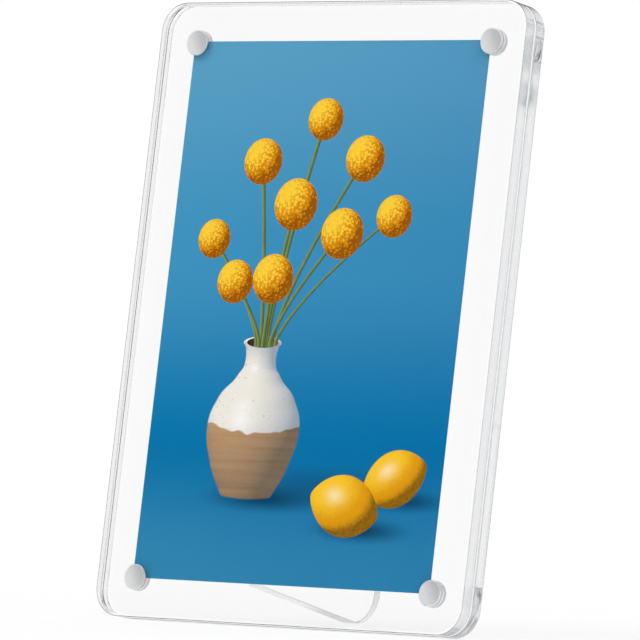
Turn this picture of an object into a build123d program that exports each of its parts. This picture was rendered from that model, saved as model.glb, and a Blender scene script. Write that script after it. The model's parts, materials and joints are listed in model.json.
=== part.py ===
"""Magnetic photo frame: two clear panels that close on a print, standing on a plug-in leg.

Millimetres, +Z up, the print faces -Y. The frame leans back by LEAN and stands on the rear panel's
lower back edge and on the foot of the leg. The origin is the bottom centre of its bounding box.

In the leaning frame, x runs to the viewer's right, "up" runs along the panels and "out" runs from
the back face of the rear panel towards the viewer.
"""
from build123d import *

import os
from math import asin, atan2, cos, hypot, radians, sin, tan

# The print, placed by hand a little left of centre
PRINT_W = 101.6
PRINT_H = 152.4
PRINT_T = 0.25
PRINT_PLAY = 0.025
PRINT_SHIFT = -1.2
PRINT_RISE = 0.25

# The two clear panels, which leave a clear margin round the print
SIDE_MARGIN = 11.8
END_MARGIN = 11.0
PANEL_T = 4.5
PANEL_CORNER_R = 8.0
PANEL_EDGE_R = 0.6

# Disc magnets near the print's corners, in blind pockets that open towards the print
MAGNET_D = 7.3
MAGNET_T = 2.0
MAGNET_EDGE_BREAK = 0.3
MAGNET_RECESS = 0.05
MAGNET_GLUE_T = 0.05
MAGNET_INSET = 0.3
POCKET_CLEARANCE = 0.08

# The leg: an upright clear plate behind the rear panel, with a tongue that plugs into a slot
LEAN = 8.0
LEG_T = 5.0
LEG_X = -11.0
LEG_REACH = 55.0
LEG_FOOT_R = 9.8
LEG_ROOT_LOW = 10.9
LEG_ROOT_HIGH = 74.0
LEG_REAR_HIGH = 40.0
LEG_SHOULDER_R = 14.0
LEG_EDGE_BREAK = 0.2
LEG_SEAT_GAP = 0.05
TONGUE_LOW = 20.0
TONGUE_HIGH = 64.0
TONGUE_SETBACK = 0.1
SLOT_SIDE_CLEARANCE = 0.05
SLOT_END_CLEARANCE = 0.15

lean = radians(LEAN)
panel_w = PRINT_W + 2 * SIDE_MARGIN
panel_h = PRINT_H + 2 * END_MARGIN
print_gap = PRINT_T + 2 * PRINT_PLAY
stack_t = 2 * PANEL_T + print_gap
pocket_depth = MAGNET_T + MAGNET_RECESS + MAGNET_GLUE_T
pocket_r = MAGNET_D / 2 + POCKET_CLEARANCE

# How far a panel's rounded edge falls short of its sharp corner, straight down or straight forward
edge_loss = PANEL_EDGE_R * (sin(lean) + cos(lean) - 1)

# Foot arc of the leg, touching its rear edge and the table (back, up)
foot_back = LEG_REACH - LEG_FOOT_R
foot_up = (LEG_FOOT_R + foot_back * sin(lean) + edge_loss) / cos(lean)

# The leg's lower edge runs from its root to that arc
root_to_foot = (foot_back - LEG_SEAT_GAP, foot_up - LEG_ROOT_LOW)
under_slope = atan2(root_to_foot[1], root_to_foot[0]) - asin(LEG_FOOT_R / hypot(*root_to_foot))
heel_up = LEG_ROOT_LOW + (LEG_REACH - LEG_SEAT_GAP) * tan(under_slope)

# Shoulder arc of the leg, its rearmost place
shoulder_slope = atan2(LEG_ROOT_HIGH - LEG_REAR_HIGH, LEG_REACH - LEG_SEAT_GAP)
shoulder_back = LEG_REACH - LEG_SHOULDER_R
shoulder_up = LEG_REAR_HIGH + LEG_SHOULDER_R * (tan(shoulder_slope) - 1 / cos(shoulder_slope))

# The rear panel's lower back edge, placed so that the origin is the box's bottom centre
front_y = edge_loss - stack_t * cos(lean)
rear_y = shoulder_up * sin(lean) + shoulder_back * cos(lean) + LEG_SHOULDER_R
base_edge = Vector(0, -(front_y + rear_y) / 2, -edge_loss)

right_dir = (1, 0, 0)
out_dir = (0, -cos(lean), sin(lean))
back_dir = (0, cos(lean), -sin(lean))
out_axis = Axis((0, 0, 0), out_dir)

# Planes of the leaning frame, each with x to the right, y up the panels and its origin at their foot
back_face = Plane(origin=base_edge, x_dir=right_dir, z_dir=out_dir)
rear_inner_face = back_face.offset(PANEL_T)
print_back = back_face.offset(PANEL_T + PRINT_PLAY)
front_inner_face = back_face.offset(PANEL_T + print_gap)
leg_side = Plane(origin=base_edge + Vector(LEG_X - LEG_T / 2, 0, 0), x_dir=back_dir, z_dir=right_dir)

panel_centre = (0, panel_h / 2)
magnet_side = PRINT_W / 2 - MAGNET_INSET
magnet_low = END_MARGIN + MAGNET_INSET
magnet_high = panel_h - magnet_low
magnet_places = {
    "top_left": (-magnet_side, magnet_high),
    "top_right": (magnet_side, magnet_high),
    "bottom_left": (-magnet_side, magnet_low),
    "bottom_right": (magnet_side, magnet_low),
}
tongue_middle = (LEG_X, (TONGUE_LOW + TONGUE_HIGH) / 2)
tongue_h = TONGUE_HIGH - TONGUE_LOW


def save(piece, name):
    """Labels a finished piece and writes it as one node."""
    piece.label = name
    export_step(piece, f"parts/{name}.step")


os.makedirs("parts", exist_ok=True)

# Rear panel: sheet with rounded edges, four magnet pockets and the slot for the leg
with BuildPart() as rear_panel:
    with BuildSketch(back_face):
        with Locations(panel_centre):
            RectangleRounded(panel_w, panel_h, PANEL_CORNER_R)
    extrude(amount=PANEL_T)
    broad_faces = rear_panel.faces().sort_by(out_axis)
    fillet(broad_faces[0].edges() + broad_faces[-1].edges(), PANEL_EDGE_R)
    with BuildSketch(rear_inner_face):
        with Locations(*magnet_places.values()):
            Circle(pocket_r)
    extrude(amount=-pocket_depth, mode=Mode.SUBTRACT)
    with BuildSketch(back_face):
        with Locations(tongue_middle):
            Rectangle(LEG_T + 2 * SLOT_SIDE_CLEARANCE, tongue_h + 2 * SLOT_END_CLEARANCE)
    extrude(amount=PANEL_T, mode=Mode.SUBTRACT)
save(rear_panel.part, "rear_panel")

# Front panel: the same sheet with its pockets facing the rear panel's
with BuildPart() as front_panel:
    with BuildSketch(front_inner_face):
        with Locations(panel_centre):
            RectangleRounded(panel_w, panel_h, PANEL_CORNER_R)
    extrude(amount=PANEL_T)
    broad_faces = front_panel.faces().sort_by(out_axis)
    fillet(broad_faces[0].edges() + broad_faces[-1].edges(), PANEL_EDGE_R)
    with BuildSketch(front_inner_face):
        with Locations(*magnet_places.values()):
            Circle(pocket_r)
    extrude(amount=pocket_depth, mode=Mode.SUBTRACT)
save(front_panel.part, "front_panel")

# Disc magnets, each a film of glue off the floor of its pocket
magnet_seats = {
    "rear": rear_inner_face.offset(MAGNET_GLUE_T - pocket_depth),
    "front": front_inner_face.offset(MAGNET_RECESS),
}
for side, seat in magnet_seats.items():
    for corner, place in magnet_places.items():
        with BuildPart() as magnet:
            with BuildSketch(seat):
                with Locations(place):
                    Circle(MAGNET_D / 2)
            extrude(amount=MAGNET_T)
            chamfer(magnet.edges().filter_by(GeomType.CIRCLE), MAGNET_EDGE_BREAK)
        save(magnet.part, f"{side}_magnet_{corner}")

# The print, loose in the gap between the panels
with BuildPart() as photo_print:
    with BuildSketch(print_back):
        with Locations((PRINT_SHIFT, panel_h / 2 + PRINT_RISE)):
            Rectangle(PRINT_W, PRINT_H)
    extrude(amount=PRINT_T)
save(photo_print.part, "photo_print")

# The leg: a plate on edge with a rounded foot, its root close against the rear panel
with BuildPart() as support_leg:
    with BuildSketch(leg_side) as outline:
        with BuildLine():
            Polyline(
                (LEG_SEAT_GAP, LEG_ROOT_LOW),
                (LEG_REACH, heel_up),
                (LEG_REACH, LEG_REAR_HIGH),
                (LEG_SEAT_GAP, LEG_ROOT_HIGH),
                close=True,
            )
        make_face()
        shoulder = outline.vertices().group_by(Axis.X)[-1].sort_by(Axis.Y)[-1]
        fillet(shoulder, LEG_SHOULDER_R)
        heel = outline.vertices().group_by(Axis.X)[-1].sort_by(Axis.Y)[0]
        fillet(heel, LEG_FOOT_R)
    extrude(amount=LEG_T)
    flat_sides = support_leg.faces().sort_by(Axis.X)
    side_edges = flat_sides[0].edges() + flat_sides[-1].edges()
    root_edges = side_edges.group_by(Axis(leg_side.origin, back_dir))[0]
    chamfer(side_edges - root_edges, LEG_EDGE_BREAK)
    with BuildSketch(back_face.offset(-LEG_SEAT_GAP)):
        with Locations(tongue_middle):
            Rectangle(LEG_T, tongue_h)
    extrude(amount=LEG_SEAT_GAP + PANEL_T - TONGUE_SETBACK)
save(support_leg.part, "support_leg")
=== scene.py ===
"""Magnetic photo frame on a plain white stage: clear acrylic, nickel discs and a printed still life.

Metres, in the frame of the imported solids. The picture on the print is drawn in millimetres from the
print's centre, x to the viewer's right and y up the print.

Colours of three numbers are screen values from 0 to 255, and colours of four are linear. A pair of
numbers for Field.step, such as SIDE_FACING, is where a value starts to count and where it counts in
full. Noises are given by scale, detail and roughness, and a part picks one of a noise's patterns.
"""

import json
from math import cos, radians, sin

import bpy
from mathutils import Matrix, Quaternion, Vector


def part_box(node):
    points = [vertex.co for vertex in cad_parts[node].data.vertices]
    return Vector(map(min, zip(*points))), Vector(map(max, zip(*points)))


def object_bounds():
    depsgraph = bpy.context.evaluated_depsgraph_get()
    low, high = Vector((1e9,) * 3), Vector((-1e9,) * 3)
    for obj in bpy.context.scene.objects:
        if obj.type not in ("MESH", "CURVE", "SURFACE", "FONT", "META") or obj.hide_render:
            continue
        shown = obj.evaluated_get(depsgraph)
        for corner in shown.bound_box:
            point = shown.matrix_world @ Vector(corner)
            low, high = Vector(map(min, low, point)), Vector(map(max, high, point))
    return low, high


WHITE = (1, 1, 1, 1)
MM_PER_M = 1000

# Camera of the photograph
CAMERA_PLACE = Vector((1.06831, -1.46396, 0.07376))
CAMERA_AIM = Vector((-0.00741, -0.00617, 0.08534))
CAMERA_ROLL = radians(1.74)
CAMERA_LENS = 366.44

# Floor, which runs out to white away from the frame
FLOOR_SIZE = 0.70
FLOOR_COLOUR = (0.95, 0.95, 0.95, 1)
FLOOR_ROUGHNESS = 0.9
FLOOR_FADE = (0.08, 0.30)
FLOOR_GLOW = 0.80

# World, and the grey that refracted rays see well off the sight line, in degrees from it
WORLD_LEVEL = 0.75
SEEN_GREY = 0.90
SEEN_WHITE_CONE = (30.0, 60.0)

# Lamps
KEY_PLACE = Vector((-0.9, -1.3, 1.5))
KEY_SIZE = 1.2
KEY_POWER = 15.0
FILL_PLACE = Vector((1.6, -0.6, 1.0))
FILL_SIZE = 1.4
FILL_POWER = 7.5

# Dark cards for reflections, each with the number of bounces up to which it is seen
CARD_COLOUR = (0.02, 0.02, 0.02, 1)
MIRROR_CARD_DISTANCE = 5.5
MIRROR_CARD_SIZE = 0.85
MIRROR_CARD_DEPTH = 9
LEFT_FLAG_DISTANCE = 1.5
LEFT_FLAG_SIZE = 1.0
LEFT_FLAG_TURN = radians(28)
BACK_FLAG_DISTANCE = 2.5
BACK_FLAG_SIZE = 6.0
FLAG_DEPTH = 1

# Light runs far inside the panels
LIGHT_BOUNCES = 96

# Clear acrylic
ACRYLIC_IOR = 1.49
ACRYLIC_SPECULAR = (0.2, 0.2, 0.2, 1)
ACRYLIC_TINT = (0.90, 0.91, 0.915, 1)
ACRYLIC_DENSITY = 8.0
ACRYLIC_MARKS = (420, 4, 0.6)
MARK_REACH = 0.4
STRAIGHT_TINT = (0.96, 0.965, 0.97, 1)
PANEL_SIDE_ROUGHNESS = 0.12
LEG_SIDE_ROUGHNESS = 0.30
SIDE_FACING = (0.97, 0.80)
EDGE_FROM_SIDE = (0.05, 0.20)
EDGE_FROM_BROAD = (0.995, 0.96)
SEAM_ROUGHNESS = 0.12
# Painted shade: the edges are coloured darker where the two panels meet
SEAM_SHADE = (0.84, 0.85, 0.86, 1)
SEAM_REACH = (0.0020, 0.0010)
# Painted shade: dark outlines on the edges where they are seen at a grazing angle, a lighter grey on
# the leg
PANEL_RIM_SHADE = (0.05, 0.052, 0.055, 1)
LEG_RIM_SHADE = (0.70, 0.71, 0.72, 1)
RIM_FACING = (0.32, 0.48)
GLUE_REACH = 0.0038
GLUE_DEPTH = 0.0030

# Nickel plating on the discs' faces, bevels and walls, with painted light: a lit-to-shaded sheen
# across the faces, painted shade on the walls and a painted highlight on the bevels
NICKEL_LIT = (255, 254, 253)
NICKEL_SHADED = (218, 217, 218)
NICKEL_WALL_SHADE = (204, 203, 204)
NICKEL_PAINTED_WHITE = (255, 255, 255)
NICKEL_ROUGHNESS = 0.34
NICKEL_WEAR = 0.16
NICKEL_ANISOTROPY = 0.15
NICKEL_GRAIN = (9, 5, 0.65)
NICKEL_PITS = (30, 3, 0.5)
PIT_STRENGTH = 0.02
PIT_DEPTH = 0.00005
SHEEN_SLANT = (0.80, 0, 0.45)
SHEEN_GRAIN = 0.12
SHEEN_RANGE = (0.35, 1.05)
WALL_FACING = (0.20, 0.10)
BEVEL_FROM_WALL = (0.30, 0.50)
BEVEL_FROM_FACE = (0.95, 0.85)

# Plating seen by rays already reflected inside the panels: smoother, and painted paler as painted
# light
GUIDED_DEPTH = 2
GUIDED_SHARE = 0.8

# Photo paper
PAPER = (244, 243, 240)
PAPER_DARK = (239, 238, 235)
PAPER_ROUGHNESS = 0.42
PAPER_SPECULAR = 0.04
PRINT_GLOSS = 0.10
PRINT_HEIGHT = 152.4
PRINT_FRONT = (0.06, 0.10)
FIBRES = (2.2, 4, 0.7)
FIBRE_PART = 1.0
FIBRE_RANGE = (0.2, 0.8)
FIBRE_TONE = 0.05
FIBRE_WEAR = 0.10
FIBRE_STRENGTH = 0.06
FIBRE_DEPTH = 0.00002

# The picture: round flowers in a half-glazed vase, and two lemons on a blue sweep
SUN = Vector((-0.52, 0.56, 0.65)).normalized()
HIGHLIGHT = (SUN + Vector((0, 0, 1))).normalized()

# Blue sweep: colours by their place up the print, and a shade that deepens to the lower right
WALL = ((0.25, (0, 119, 171)), (0.6, (62, 146, 188)), (1, (88, 157, 193)))
GROUND = ((0, (54, 139, 178)), (0.26, (0, 115, 165)))
HORIZON = (-47.0, -29.0)
SWEEP_SHADE = (0, 92, 150)
SWEEP_SHADE_ASIDE = 0.55
SWEEP_SHADE_DOWN = 0.35
SWEEP_SHADE_RANGE = (-60, 62)
SWEEP_SHADE_DEPTH = 0.34

# Vase: its place, its outline as half width by height, and the mouth's half width and half height
VASE_X = -15.0
VASE_FOOT = -53.0
VASE_TOP = -9.0
VASE_HALF = 16.0
VASE_BOW = 2.2
VASE_LINE = (
    (0, 0.52), (0.04, 0.60), (0.20, 0.86), (0.40, 1.0),
    (0.60, 0.84), (0.78, 0.46), (0.88, 0.33), (1, 0.40),
)
VASE_LINE_STEP = 0.02
VASE_EDGE = (1.01, 0.975)
VASE_FOOT_EDGE = (0.0, 0.012)
VASE_TOP_EDGE = (1.0, 0.99)
MOUTH_HALF = (6.5, 1.75)
MOUTH_EDGE = (1.06, 0.94)
MOUTH_SHADING = (-6, 6)
NECK_SHARE = 0.84
NECK_DARK = (46, 40, 34)
NECK_LIGHT = (104, 90, 74)
GLAZE = (240, 234, 222)
GLAZE_SHADED = (196, 190, 178)
GLAZE_SPECK = (190, 172, 146)
SPECKS = (1.4, 3, 0.6)
SPECK_PART = 3.0
SPECK_EDGE = (0.30, 0.36)
GLAZE_LINE = (0.470, 0.482)
DRIPS = (0.16, 1, 0.5)
DRIP_PART = 7.0
DRIP_REACH = 0.10
CLAY = (198, 158, 118)
CLAY_DARK = (180, 140, 100)
CLAY_RANGE = (0.3, 0.7)
RINGS = (0.75, 2, 0.5)
RING_PART = 11.0
RING_STRETCH = 0.03
RING_SHARE = 0.7
VASE_LIT = 0.86
VASE_AMBIENT = 0.20
VASE_SHADE = (0.20, 0.30, 0.46, 1)
VASE_POLISH = 42.0
VASE_SHINE = 0.55

# Flowers, farther ones first: place and radius
FLOWERS = (
    (-36.0, 20.0, 5.6),
    (-2.0, 54.0, 6.0),
    (25.0, 27.0, 6.0),
    (-22.0, 42.0, 6.6),
    (13.0, 43.0, 6.6),
    (-27.0, 8.0, 6.2),
    (8.0, 22.0, 7.2),
    (-9.0, 30.0, 7.4),
    (-14.0, 9.0, 7.0),
)
FLOWER_EDGE = (1.03, 0.95)
PETALS = ((0, (150, 84, 4)), (0.36, (214, 138, 10)), (0.85, (255, 206, 58)))
FLORET_SCALE = 7.5
FLORET_RANGE = (0.75, 0.15)
FLORET_LIT = 0.42
FLOWER_LIT = 0.9
FLOWER_DIM = 0.16

# Stems
STEM = (126, 144, 92)
STEM_SHADED = (74, 92, 40)
STEM_GATHER = 0.11
STEM_BEND = 1.35
STEM_EDGE = (0.75, 0.50)
STEM_ROOT_EDGE = (VASE_TOP - 2, VASE_TOP - 1)
STEM_SHADING = (-0.3, 0.8)
STREAKS = (0.35, 2, 0.5)
STREAK_PART = 0.0
STREAK_REACH = 0.5

# Lemons, farther one first: place, half length, half width and tilt in degrees
LEMONS = ((35.0, -45.5, 11.0, 7.9, 22.0), (19.0, -53.5, 12.0, 8.6, -14.0))
LEMON_TAPER = 0.70
LEMON_LEAST_REST = 0.0001
LEMON_EDGE = (1.015, 0.965)
LEMON_TIP_EDGE = (1.0, 0.98)
LEMON_SKIN = ((0.05, (122, 86, 14)), (0.42, (222, 152, 14)), (0.92, (250, 196, 42)))
LEMON_GLINT = (255, 246, 214)
LEMON_LIT = 0.82
LEMON_AMBIENT = 0.02
LEMON_POLISH = 30.0
LEMON_SHINE = 0.5
PORES = (6.5, 2, 0.5)
PORE_PART = 5.0
PORE_ALONG = 2.6
PORE_ASIDE = 2.0
PORE_REACH = 0.22

# Shadows on the sweep: place, half width, half height and depth
SHADOW = (0, 44, 78)
SHADOWS = (
    (VASE_X + 6, VASE_FOOT + 0.5, 26, 5.0, 0.80),
    (VASE_X + 24, VASE_FOOT + 4, 44, 8.0, 0.45),
    (25.0, -60.0, 21, 4.6, 0.85),
    (40.0, -51.5, 17, 4.0, 0.75),
)

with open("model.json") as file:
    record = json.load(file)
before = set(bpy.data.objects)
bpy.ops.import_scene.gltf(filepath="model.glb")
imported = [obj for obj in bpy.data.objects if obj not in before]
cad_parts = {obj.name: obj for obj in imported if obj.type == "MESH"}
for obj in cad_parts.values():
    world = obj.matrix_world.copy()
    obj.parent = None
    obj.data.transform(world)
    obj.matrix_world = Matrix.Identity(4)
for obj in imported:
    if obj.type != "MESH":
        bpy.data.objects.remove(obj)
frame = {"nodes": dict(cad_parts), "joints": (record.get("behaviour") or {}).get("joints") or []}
cad_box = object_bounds()
joints = {joint["name"]: joint for joint in frame["joints"]}
right_dir = Vector((1, 0, 0))
out_dir = Vector(joints["front_panel_lift"]["axis"]).normalized()
up_dir = Vector(joints["print_slide"]["axis"]).normalized()
sight_dir = (CAMERA_AIM - CAMERA_PLACE).normalized()


def middle(low, high):
    """The middle of a box, from its lowest and highest corners."""
    return (Vector(low) + Vector(high)) / 2


# Middle of the print and of the seam round it, and the magnets' places
print_middle = middle(*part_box("photo_print"))
top_right = middle(*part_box("front_magnet_top_right"))
bottom_left = middle(*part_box("front_magnet_bottom_left"))
magnet_middle = (top_right + bottom_left) / 2
magnet_aside = (top_right - bottom_left).dot(right_dir) / 2
magnet_along = (top_right - bottom_left).dot(up_dir) / 2


def linear(screen):
    """A shader colour from screen values of 0 to 255."""
    shares = [value / 255 for value in screen]
    return [s / 12.92 if s <= 0.04045 else ((s + 0.055) / 1.055) ** 2.4 for s in shares] + [1]


class Field:
    """A number that varies over a surface, worked out by Math nodes."""

    def __init__(self, tree, socket):
        self.tree = tree
        self.socket = socket

    def op(self, operation, *others, clamp=False):
        """One Math node, with this field as its first value."""
        node = self.tree.nodes.new("ShaderNodeMath")
        node.operation = operation
        node.use_clamp = clamp
        for value, socket in zip((self, *others), node.inputs):
            feed(self.tree, value, socket)
        return Field(self.tree, node.outputs[0])

    def __add__(self, other):
        return self.op("ADD", other)

    def __sub__(self, other):
        return self.op("SUBTRACT", other)

    def __mul__(self, other):
        return self.op("MULTIPLY", other)

    def __truediv__(self, other):
        return self.op("DIVIDE", other)

    def away_from(self, other):
        """Another number less this one."""
        return self.op("MULTIPLY_ADD", -1, other)

    def magnitude(self):
        return self.op("ABSOLUTE")

    def at_least(self, other):
        return self.op("MAXIMUM", other)

    def step(self, low, high):
        """Rises smoothly from 0 at low to 1 at high."""
        node = self.tree.nodes.new("ShaderNodeMapRange")
        node.interpolation_type = "SMOOTHSTEP"
        feed(self.tree, self, node.inputs["Value"])
        feed(self.tree, low, node.inputs["From Min"])
        feed(self.tree, high, node.inputs["From Max"])
        return Field(self.tree, node.outputs["Result"])

    def curve(self, points):
        """Reads a curve drawn through points, from 0 to 1 along."""
        node = self.tree.nodes.new("ShaderNodeFloatCurve")
        line = node.mapping.curves[0]
        for place, value in points[1:-1]:
            line.points.new(place, value)
        line.points[0].location = points[0]
        line.points[-1].location = points[-1]
        node.mapping.update()
        feed(self.tree, self, node.inputs["Value"])
        return Field(self.tree, node.outputs[0])


def feed(tree, value, socket):
    """Sets a socket to a number, vector or colour, or feeds it from a field or another socket."""
    if isinstance(value, Field):
        value = value.socket
    if isinstance(value, bpy.types.NodeSocket):
        tree.links.new(value, socket)
    else:
        socket.default_value = value


def squares(a, b):
    """The sum of two fields' squares."""
    return a * a + b * b


def vector(tree, x, y, z):
    """A vector from three fields or numbers."""
    node = tree.nodes.new("ShaderNodeCombineXYZ")
    for value, socket in zip((x, y, z), node.inputs):
        feed(tree, value, socket)
    return node.outputs[0]


def vector_math(tree, operation, *vectors):
    """The outputs of one Vector Math node."""
    node = tree.nodes.new("ShaderNodeVectorMath")
    node.operation = operation
    for value, socket in zip(vectors, node.inputs):
        feed(tree, value, socket)
    return node.outputs


def dot(tree, a, b):
    """The dot product of two vectors as a field."""
    return Field(tree, vector_math(tree, "DOT_PRODUCT", a, b)["Value"])


def blend(tree, factor, a, b, kind="MIX"):
    """Two colours mixed by a field. The Mix node has sockets of its own for each type of data."""
    node = tree.nodes.new("ShaderNodeMix")
    node.data_type = "RGBA"
    node.blend_type = kind
    for value, socket in ((factor, 0), (a, 6), (b, 7)):
        feed(tree, value, node.inputs[socket])
    return node.outputs[2]


def blend_vectors(tree, factor, a, b):
    """Two vectors mixed by a field."""
    node = tree.nodes.new("ShaderNodeMix")
    node.data_type = "VECTOR"
    for value, socket in ((factor, 0), (a, 4), (b, 5)):
        feed(tree, value, node.inputs[socket])
    return node.outputs[1]


def ramp(tree, factor, stops):
    """A colour that changes smoothly along a field, by screen values at places from 0 to 1."""
    node = tree.nodes.new("ShaderNodeValToRGB")
    node.color_ramp.interpolation = "EASE"
    marks = node.color_ramp.elements
    while len(marks) < len(stops):
        marks.new(0.5)
    for mark, (place, screen) in zip(marks, stops):
        mark.position = place
        mark.color = linear(screen)
    feed(tree, factor, node.inputs[0])
    return node.outputs[0]


def noise(tree, place, scale, detail, roughness):
    """Smooth noise from 0 to 1, about 0.5 in the middle."""
    node = tree.nodes.new("ShaderNodeTexNoise")
    node.inputs["Scale"].default_value = scale
    node.inputs["Detail"].default_value = detail
    node.inputs["Roughness"].default_value = roughness
    feed(tree, place, node.inputs["Vector"])
    return Field(tree, node.outputs[0])


def bump(tree, height, strength, distance):
    """A bumped normal from a height field."""
    node = tree.nodes.new("ShaderNodeBump")
    node.inputs["Strength"].default_value = strength
    node.inputs["Distance"].default_value = distance
    feed(tree, height, node.inputs["Height"])
    return node.outputs[0]


def coordinates(tree, kind):
    """Texture coordinates. Object ones lie in the frame of the solids, as they stand at rest."""
    return tree.nodes.new("ShaderNodeTexCoord").outputs[kind]


def faces_along(tree, direction):
    """A field that is 1 on faces square to a direction and 0 on faces that run along it."""
    return dot(tree, coordinates(tree, "Normal"), direction).magnitude()


def light_path(tree, *names):
    """What the Light Path node says of a ray: one output, or 1 for any of several kinds."""
    node = tree.nodes.new("ShaderNodeLightPath")
    total = Field(tree, node.outputs[names[0]])
    for name in names[1:]:
        total = total.op("ADD", node.outputs[name], clamp=True)
    return total


def new_material(name):
    """A new node material, its tree and its main shader."""
    material = bpy.data.materials.new(name)
    material.use_nodes = True
    tree = material.node_tree
    return material, tree, tree.nodes["Principled BSDF"]


def show_either(tree, factor, first, second):
    """Shows one shader where a field is 0 and another where it is 1."""
    choice = tree.nodes.new("ShaderNodeMixShader")
    feed(tree, factor, choice.inputs[0])
    feed(tree, first.outputs[0], choice.inputs[1])
    feed(tree, second.outputs[0], choice.inputs[2])
    feed(tree, choice.outputs[0], tree.nodes["Material Output"].inputs["Surface"])


def glue(tree, place, depth):
    """1 on the walls and floors of the magnets' pockets, which glue fills, and 0 elsewhere."""
    aside = dot(tree, place, right_dir).magnitude() - magnet_aside
    along = (dot(tree, place, up_dir) - magnet_middle.dot(up_dir)).magnitude() - magnet_along
    near = squares(aside, along).op("LESS_THAN", GLUE_REACH ** 2)
    return near * depth.op("LESS_THAN", GLUE_DEPTH)


def make_acrylic(name, broad_dir, side_roughness, rim_shade):
    """Clear acrylic: broad faces square to broad_dir, worn sides and softened edges between them.

    Shadow and diffuse rays go straight through, and so does all light at the glued magnets. The edges
    carry painted shade: a dark outline where they are seen at a grazing angle, and a darker band
    where the two panels meet.
    """
    material, tree, shader = new_material(name)
    place = coordinates(tree, "Object")
    facing = faces_along(tree, broad_dir)
    side = facing.step(*SIDE_FACING)
    edge = facing.step(*EDGE_FROM_SIDE) * facing.step(*EDGE_FROM_BROAD)
    glance = tree.nodes.new("ShaderNodeLayerWeight")
    # Painted shade: the edges are coloured darker where they are seen at a grazing angle, which draws
    # their outlines
    rim = Field(tree, glance.outputs["Facing"]).step(*RIM_FACING) * edge
    depth = (dot(tree, place, out_dir) - print_middle.dot(out_dir)).magnitude()
    # Painted shade: edges within a millimetre or two of the panels' middle plane, where they meet,
    # are coloured darker
    seam = depth.step(*SEAM_REACH) * edge
    seam_shade = blend(tree, seam, WHITE, SEAM_SHADE)
    feed(tree, blend(tree, rim, seam_shade, rim_shade), shader.inputs["Base Color"])
    shader.inputs["IOR"].default_value = ACRYLIC_IOR
    shader.inputs["Transmission Weight"].default_value = 1
    shader.inputs["Specular Tint"].default_value = ACRYLIC_SPECULAR
    worn = side * side_roughness + seam * SEAM_ROUGHNESS
    marks = noise(tree, place, *ACRYLIC_MARKS) * MARK_REACH + (1 - MARK_REACH / 2)
    feed(tree, worn * marks, shader.inputs["Roughness"])
    clear = tree.nodes.new("ShaderNodeBsdfTransparent")
    clear.inputs["Color"].default_value = STRAIGHT_TINT
    through = light_path(tree, "Is Shadow Ray", "Is Diffuse Ray")
    show_either(tree, through.op("ADD", glue(tree, place, depth), clamp=True), shader, clear)
    body = tree.nodes.new("ShaderNodeVolumeAbsorption")
    body.inputs["Color"].default_value = ACRYLIC_TINT
    body.inputs["Density"].default_value = ACRYLIC_DENSITY
    feed(tree, body.outputs[0], tree.nodes["Material Output"].inputs["Volume"])
    return material


def make_nickel():
    """Satin nickel plating on turned discs, with painted light: a lit-to-shaded sheen across each
    face, darker walls, white bevels and a paler tone for rays reflected inside the panels.
    """
    material, tree, shader = new_material("nickel_plate")
    across = coordinates(tree, "Generated")
    grain = noise(tree, across, *NICKEL_GRAIN)
    shader.inputs["Metallic"].default_value = 1
    shader.inputs["Anisotropic"].default_value = NICKEL_ANISOTROPY
    # Painted sheen: each face is coloured lighter on one side and darker on the other, as light and
    # shade would fall on a turned disc
    painted_sheen = dot(tree, across, SHEEN_SLANT) + grain * SHEEN_GRAIN
    face = blend(tree, painted_sheen.step(*SHEEN_RANGE), linear(NICKEL_LIT), linear(NICKEL_SHADED))
    facing = faces_along(tree, out_dir)
    # Painted shade: the discs' walls are coloured darker than their faces
    plate = blend(tree, facing.step(*WALL_FACING), face, linear(NICKEL_WALL_SHADE))
    # Painted highlight: the bevels between faces and walls are coloured white
    bevel = facing.step(*BEVEL_FROM_WALL) * facing.step(*BEVEL_FROM_FACE)
    skin = blend(tree, bevel, plate, linear(NICKEL_PAINTED_WHITE))
    # Painted light: to rays already reflected inside the panels the plating is coloured paler and
    # made smoother, so its images in the panels' sides stay pale
    guided = light_path(tree, "Glossy Depth").step(0, GUIDED_DEPTH) * GUIDED_SHARE
    feed(tree, blend(tree, guided, skin, linear(NICKEL_PAINTED_WHITE)), shader.inputs["Base Color"])
    worn = grain * NICKEL_WEAR + (NICKEL_ROUGHNESS - NICKEL_WEAR / 2)
    feed(tree, worn * guided.away_from(1), shader.inputs["Roughness"])
    turned = tree.nodes.new("ShaderNodeTangent")
    turned.direction_type = "RADIAL"
    turned.axis = "Y"
    feed(tree, turned.outputs[0], shader.inputs["Tangent"])
    pits = noise(tree, across, *NICKEL_PITS)
    feed(tree, bump(tree, pits, PIT_STRENGTH, PIT_DEPTH), shader.inputs["Normal"])
    return material


def sphere_normal(tree, across, along):
    """The normal of a round form from its two side parts."""
    facing = squares(across, along).away_from(1).at_least(0).op("SQRT")
    return vector(tree, across, along, facing)


def lit(tree, normal):
    """How much of the picture's light a form catches."""
    return dot(tree, normal, SUN).at_least(0)


def glint(tree, normal, polish):
    """The highlight on a glossy form, smaller with more polish."""
    return dot(tree, normal, HIGHLIGHT).at_least(0).op("POWER", polish)


def sweep(tree, x, y):
    """A blue paper sweep, paler above and where it comes forward."""
    height = (y + PRINT_HEIGHT / 2) / PRINT_HEIGHT
    sheet = blend(tree, y.step(*HORIZON), ramp(tree, height, GROUND), ramp(tree, height, WALL))
    slant = x * SWEEP_SHADE_ASIDE - y * SWEEP_SHADE_DOWN
    shade = slant.step(*SWEEP_SHADE_RANGE) * SWEEP_SHADE_DEPTH
    return blend(tree, shade, sheet, linear(SWEEP_SHADE))


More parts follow.
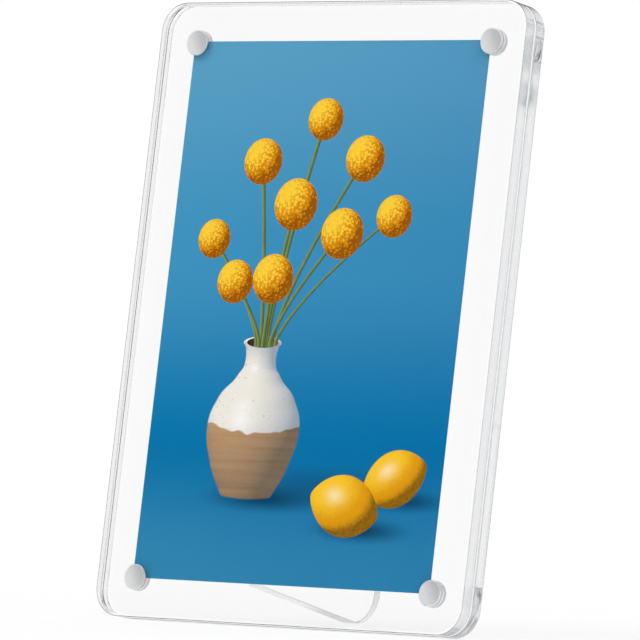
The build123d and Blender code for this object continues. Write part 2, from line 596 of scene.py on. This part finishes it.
def shadows(tree, x, y, colour):
    """Soft shadows on the sweep, each an ellipse that fades outwards."""
    for place_x, place_y, half_x, half_y, depth in SHADOWS:
        across = (x - place_x) / half_x
        along = (y - place_y) / half_y
        dark = squares(across, along).op("SQRT").step(1, 0) * depth
        colour = blend(tree, dark, colour, linear(SHADOW))
    return colour


def mouth(x, y, share):
    """Where the vase's mouth lies, drawn at a share of its full size."""
    half_x, half_y = MOUTH_HALF
    across = (x - VASE_X) / (half_x * share)
    along = (y - VASE_TOP) / (half_y * share)
    return squares(across, along).step(*MOUTH_EDGE)


def vase_mouth(tree, x, y, colour):
    """The far side of the vase's lip and the dark inside of its neck."""
    shading = (x - VASE_X).step(*MOUTH_SHADING)
    lip = blend(tree, shading, linear(GLAZE), linear(GLAZE_SHADED))
    inside = blend(tree, shading, linear(NECK_DARK), linear(NECK_LIGHT))
    colour = blend(tree, mouth(x, y, 1), colour, lip)
    return blend(tree, mouth(x, y, NECK_SHARE), colour, inside)


def stems(tree, x, y, colour):
    """Thin stems that fan out from the vase to the flowers."""
    streak = noise(tree, vector(tree, x, y, STREAK_PART), *STREAKS)
    for flower_x, flower_y, _ in FLOWERS:
        root_x = VASE_X + STEM_GATHER * (flower_x - VASE_X)
        rise = ((y - VASE_TOP) / (flower_y - VASE_TOP)).at_least(0)
        aside = x - (rise.op("POWER", STEM_BEND) * (flower_x - root_x) + root_x)
        ends = y.step(flower_y, flower_y - 1) * y.step(*STEM_ROOT_EDGE)
        cover = aside.magnitude().step(*STEM_EDGE) * ends
        shading = (aside + streak * STREAK_REACH).step(*STEM_SHADING)
        green = blend(tree, shading, linear(STEM), linear(STEM_SHADED))
        colour = blend(tree, cover, colour, green)
    return colour


def vase(tree, x, y, colour):
    """A turned vase, bare clay below and pale glaze above."""
    height = VASE_TOP - VASE_FOOT
    across = (x - VASE_X) / VASE_HALF
    rise = (y - VASE_FOOT - across * across * VASE_BOW) / height
    half = rise.curve(VASE_LINE)
    ahead = (rise + VASE_LINE_STEP).curve(VASE_LINE)
    slope = (ahead - half) * (VASE_HALF / height / VASE_LINE_STEP)
    turn = across / half
    ends = rise.step(*VASE_FOOT_EDGE) * rise.step(*VASE_TOP_EDGE)
    cover = turn.magnitude().step(*VASE_EDGE) * ends * mouth(x, y, NECK_SHARE).away_from(1)
    facing = (turn * turn).away_from(1).at_least(0).op("SQRT")
    length = (slope * slope + 1).op("SQRT")
    normal = vector(tree, turn / length, slope * -1 / length, facing / length)
    speck = noise(tree, vector(tree, x, y, SPECK_PART), *SPECKS)
    drip = noise(tree, vector(tree, x, 0, DRIP_PART), *DRIPS)
    rings = noise(tree, vector(tree, x * RING_STRETCH, y, RING_PART), *RINGS)
    tone = rings.step(*CLAY_RANGE) * RING_SHARE + speck.step(*CLAY_RANGE) * (1 - RING_SHARE)
    body = blend(tree, tone, linear(CLAY_DARK), linear(CLAY))
    coat = blend(tree, speck.step(*SPECK_EDGE), linear(GLAZE_SPECK), linear(GLAZE))
    glazed = (rise + drip * DRIP_REACH).step(*GLAZE_LINE)
    skin = blend(tree, glazed, body, coat)
    light = lit(tree, normal) * VASE_LIT + VASE_AMBIENT
    dark = blend(tree, 1, skin, VASE_SHADE, "MULTIPLY")
    shaded = blend(tree, light.op("MINIMUM", 1), dark, skin)
    shine = glint(tree, normal, VASE_POLISH) * glazed * VASE_SHINE
    return blend(tree, cover, colour, blend(tree, shine, shaded, WHITE))


def flowers(tree, x, y, colour):
    """Yellow globes of tiny florets, the nearer over the farther."""
    cover = None
    normal = (0, 0, 1)
    for flower_x, flower_y, radius in FLOWERS:
        across = (x - flower_x) / radius
        along = (y - flower_y) / radius
        inside = squares(across, along).step(*FLOWER_EDGE)
        normal = blend_vectors(tree, inside, normal, sphere_normal(tree, across, along))
        cover = inside if cover is None else cover.at_least(inside)
    cells = tree.nodes.new("ShaderNodeTexVoronoi")
    cells.inputs["Scale"].default_value = FLORET_SCALE
    feed(tree, normal, cells.inputs["Vector"])
    floret = Field(tree, cells.outputs["Distance"]).step(*FLORET_RANGE)
    light = lit(tree, normal) * FLOWER_LIT + floret * FLORET_LIT - FLOWER_DIM
    return blend(tree, cover, colour, ramp(tree, light, PETALS))


def lemons(tree, x, y, colour):
    """Two lemons with pointed ends and dimpled skin."""
    for place_x, place_y, long_half, wide_half, tilt in LEMONS:
        turn_cos, turn_sin = cos(radians(tilt)), sin(radians(tilt))
        along = ((x - place_x) * turn_cos + (y - place_y) * turn_sin) / long_half
        aside = ((y - place_y) * turn_cos - (x - place_x) * turn_sin) / wide_half
        rest = (along * along).away_from(1).at_least(LEMON_LEAST_REST)
        turn = aside / rest.op("POWER", LEMON_TAPER)
        cover = turn.magnitude().step(*LEMON_EDGE) * (along * along).step(*LEMON_TIP_EDGE)
        face_x = along * turn_cos - aside * turn_sin
        face_y = along * turn_sin + aside * turn_cos
        normal = sphere_normal(tree, face_x, face_y)
        skin_place = vector(tree, along * PORE_ALONG, aside * PORE_ASIDE, PORE_PART)
        pore = noise(tree, skin_place, *PORES)
        light = lit(tree, normal) * LEMON_LIT + pore * PORE_REACH + LEMON_AMBIENT
        shine = glint(tree, normal, LEMON_POLISH) * LEMON_SHINE
        gold = blend(tree, shine, ramp(tree, light, LEMON_SKIN), linear(LEMON_GLINT))
        colour = blend(tree, cover, colour, gold)
    return colour


def make_print():
    """Satin photo paper: the still life on its front, plain white on its back and edges."""
    material, tree, shader = new_material("print_paper")
    place = vector_math(tree, "SUBTRACT", coordinates(tree, "Object"), print_middle)[0]
    x = dot(tree, place, right_dir * MM_PER_M)
    y = dot(tree, place, up_dir * MM_PER_M)
    front = dot(tree, place, out_dir * MM_PER_M).step(*PRINT_FRONT)
    colour = sweep(tree, x, y)
    for layer in (shadows, vase_mouth, stems, vase, flowers, lemons):
        colour = layer(tree, x, y, colour)
    fibre = noise(tree, vector(tree, x, y, FIBRE_PART), *FIBRES)
    colour = blend(tree, fibre.step(*FIBRE_RANGE) * FIBRE_TONE, colour, WHITE, "OVERLAY")
    paper = blend(tree, fibre, linear(PAPER_DARK), linear(PAPER))
    feed(tree, blend(tree, front, paper, colour), shader.inputs["Base Color"])
    worn = fibre * FIBRE_WEAR + PAPER_ROUGHNESS
    feed(tree, worn - front * PRINT_GLOSS, shader.inputs["Roughness"])
    shader.inputs["Specular IOR Level"].default_value = PAPER_SPECULAR
    feed(tree, bump(tree, fibre, FIBRE_STRENGTH, FIBRE_DEPTH), shader.inputs["Normal"])
    return material


def dress(names, material):
    """Gives solids of the frame one material."""
    for name in names:
        slots = frame["nodes"][name].data.materials
        slots.clear()
        slots.append(material)


def seen_white(tree):
    """1 for the rays to which the stage is a white backdrop."""
    return light_path(tree, "Is Camera Ray", "Is Glossy Ray", "Is Transmission Ray")


def seen_grey(tree, direction):
    """How far the backdrop falls short of white to refracted rays, well off the sight line."""
    inner, outer = (cos(radians(angle)) for angle in SEEN_WHITE_CONE)
    off_axis = dot(tree, direction, sight_dir).step(inner, outer)
    return off_axis * light_path(tree, "Is Transmission Ray") * (1 - SEEN_GREY)


def make_floor():
    """A pale floor that keeps the shadow near the frame and runs out to white."""
    bpy.ops.mesh.primitive_plane_add(size=FLOOR_SIZE, location=(0, 0, cad_box[0][2]))
    floor = bpy.context.object
    floor.name = "floor"
    material, tree, shader = new_material("floor")
    shader.inputs["Base Color"].default_value = FLOOR_COLOUR
    shader.inputs["Roughness"].default_value = FLOOR_ROUGHNESS
    shader.inputs["Specular IOR Level"].default_value = 0
    place = coordinates(tree, "Object")
    far = Field(tree, vector_math(tree, "LENGTH", place)["Value"]).step(*FLOOR_FADE)
    grey = seen_grey(tree, vector_math(tree, "NORMALIZE", place)[0]) * far
    white = tree.nodes.new("ShaderNodeEmission")
    feed(tree, grey.away_from(1), white.inputs["Strength"])
    glow = far * (1 - FLOOR_GLOW) + FLOOR_GLOW
    show_either(tree, glow * seen_white(tree), shader, white)
    floor.data.materials.append(material)


def make_world():
    """Even light from all round: a white backdrop, and pale grey where clear edges bend the view."""
    world = bpy.data.worlds.new("studio")
    world.use_nodes = True
    tree = world.node_tree
    sky = tree.nodes["Background"]
    sky.inputs["Color"].default_value = WHITE
    level = seen_white(tree) * (1 - WORLD_LEVEL) + WORLD_LEVEL
    grey = seen_grey(tree, coordinates(tree, "Generated"))
    feed(tree, level - grey, sky.inputs["Strength"])
    bpy.context.scene.world = world


def make_lamp(name, place, size, power):
    """A soft square lamp aimed at the middle of the frame."""
    lamp = bpy.data.lights.new(name, "AREA")
    lamp.size = size
    lamp.energy = power
    holder = bpy.data.objects.new(name, lamp)
    holder.location = place
    holder.rotation_euler = (middle(*cad_box) - place).to_track_quat("-Z", "Y").to_euler()
    holder.visible_camera = False
    holder.visible_glossy = False
    holder.visible_transmission = False
    bpy.context.collection.objects.link(holder)


def make_card(name, direction, distance, size, depth):
    """A dark card off in one direction, seen by reflected and refracted rays of few bounces."""
    bpy.ops.mesh.primitive_plane_add(size=size, location=CAMERA_AIM + direction * distance)
    card = bpy.context.object
    card.name = name
    card.rotation_euler = direction.to_track_quat("Z", "Y").to_euler()
    card.visible_camera = False
    card.visible_diffuse = False
    card.visible_shadow = False
    material, tree, shader = new_material(name)
    shader.inputs["Base Color"].default_value = CARD_COLOUR
    shader.inputs["Roughness"].default_value = 1
    shader.inputs["Specular IOR Level"].default_value = 0
    clear = tree.nodes.new("ShaderNodeBsdfTransparent")
    show_either(tree, light_path(tree, "Ray Depth").op("GREATER_THAN", depth), shader, clear)
    card.data.materials.append(material)


def make_camera():
    """The photograph's view of the frame."""
    lens = bpy.data.cameras.new("camera")
    lens.lens = CAMERA_LENS
    camera = bpy.data.objects.new("camera", lens)
    camera.location = CAMERA_PLACE
    aim = (CAMERA_AIM - CAMERA_PLACE).to_track_quat("-Z", "Y")
    camera.rotation_euler = (aim @ Quaternion((0, 0, 1), CAMERA_ROLL)).to_euler()
    bpy.context.collection.objects.link(camera)
    bpy.context.scene.camera = camera


# Materials of the solids
panel_acrylic = make_acrylic("clear_acrylic_panel", out_dir, PANEL_SIDE_ROUGHNESS, PANEL_RIM_SHADE)
leg_acrylic = make_acrylic("clear_acrylic_leg", right_dir, LEG_SIDE_ROUGHNESS, LEG_RIM_SHADE)
dress(("front_panel", "rear_panel"), panel_acrylic)
dress(("support_leg",), leg_acrylic)
dress([name for name in frame["nodes"] if "_magnet_" in name], make_nickel())
dress(("photo_print",), make_print())

# Stage, light and camera
make_floor()
make_world()
make_lamp("key", KEY_PLACE, KEY_SIZE, KEY_POWER)
make_lamp("fill", FILL_PLACE, FILL_SIZE, FILL_POWER)
mirrored = sight_dir - 2 * sight_dir.dot(out_dir) * out_dir
make_card("mirror_card", mirrored, MIRROR_CARD_DISTANCE, MIRROR_CARD_SIZE, MIRROR_CARD_DEPTH)
behind_left = Vector((-cos(LEFT_FLAG_TURN), sin(LEFT_FLAG_TURN), 0))
make_card("left_flag", behind_left, LEFT_FLAG_DISTANCE, LEFT_FLAG_SIZE, FLAG_DEPTH)
make_card("back_flag", Vector((0, 1, 0)), BACK_FLAG_DISTANCE, BACK_FLAG_SIZE, FLAG_DEPTH)
make_camera()
bpy.context.scene.view_settings.view_transform = "Standard"
for limit in ("max_bounces", "transmission_bounces", "glossy_bounces"):
    setattr(bpy.context.scene.cycles, limit, LIGHT_BOUNCES)
